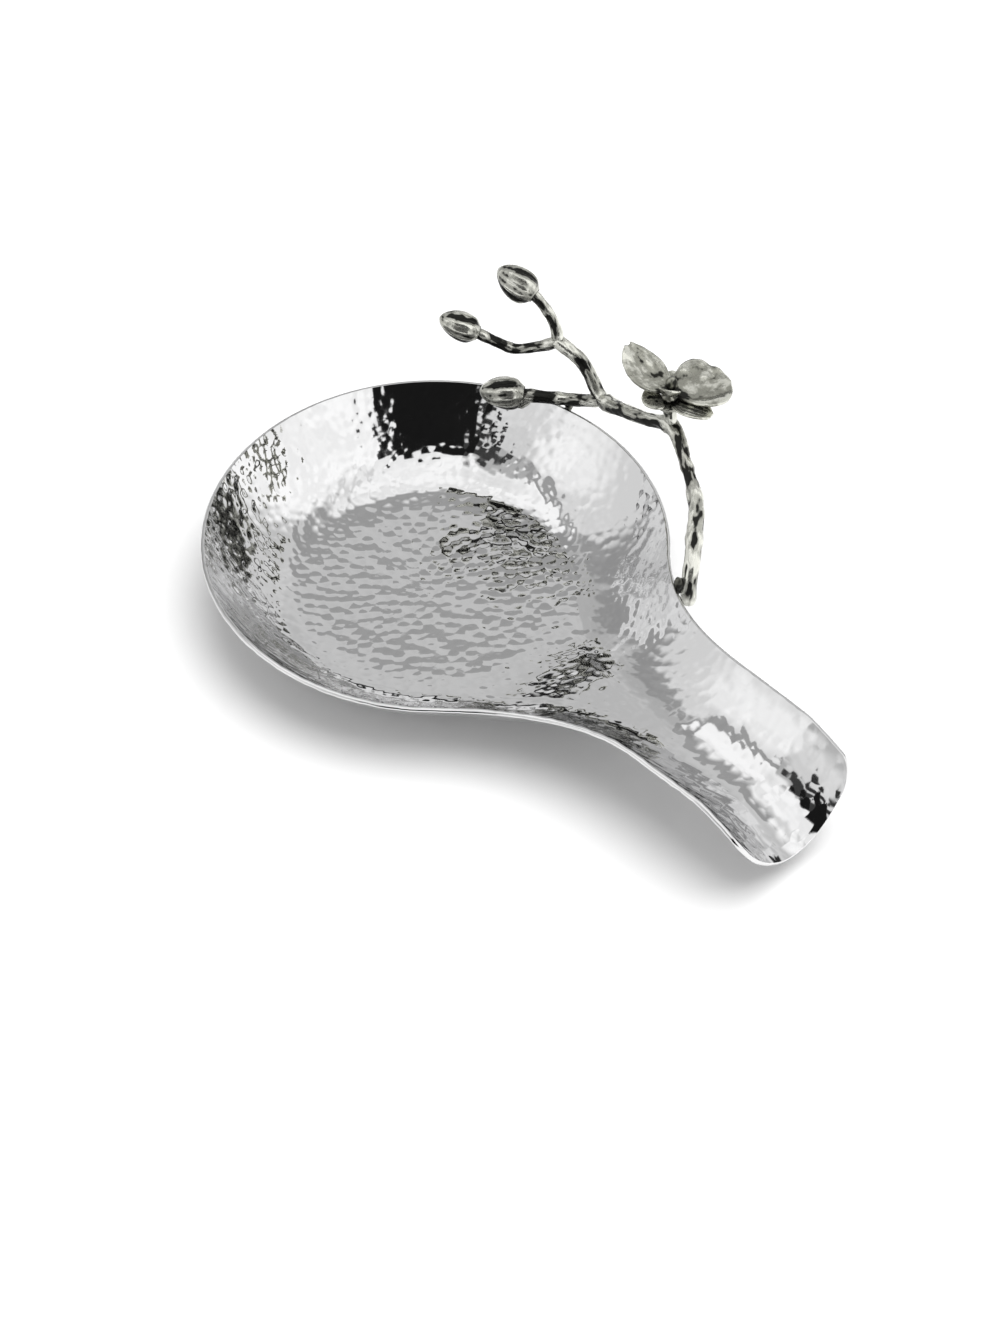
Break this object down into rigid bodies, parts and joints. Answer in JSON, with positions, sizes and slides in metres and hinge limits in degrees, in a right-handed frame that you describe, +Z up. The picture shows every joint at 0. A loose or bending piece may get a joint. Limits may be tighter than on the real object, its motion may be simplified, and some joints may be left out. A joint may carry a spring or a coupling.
{
  "type": "spoon rest",
  "caption": "Round, shallow, planished steel spoon rest with an open trough handle for the spoon's shaft, and a cast orchid twig with buds and a blossom along its rim.",
  "frame": {"origin": "centre of the bowl's flat base, on the surface it stands on", "axes": "+Z up; +X along the handle, from the bowl to its open end; +Y towards the side with the twig"},
  "size_m": [0.218, 0.1605, 0.0679],
  "materials": {
    "steel": null,
    "twig": "nickel-plated casting, blackened in its hollows and rubbed bright on its high spots",
    "blossom": "nickel-plated casting with a satin face, blackened in its veins",
    "braze": "dark braze fillet"
  },
  "bodies": {
    "root": {"dish": "steel", "main_stem": "twig", "lower_bud_stalk": "twig", "left_bud_stalk": "twig", "top_bud_stalk": "twig", "lower_bud": "twig", "left_bud": "twig", "top_bud": "twig", "flower_stalk": "twig", "foot_braze_bead": "braze", "rim_braze_bead": "braze", "dorsal_sepal": "blossom", "left_sepal": "blossom", "right_sepal": "blossom", "left_petal": "blossom", "right_petal": "blossom", "lip": "blossom", "column": "blossom"}
  },
  "joints": []
}
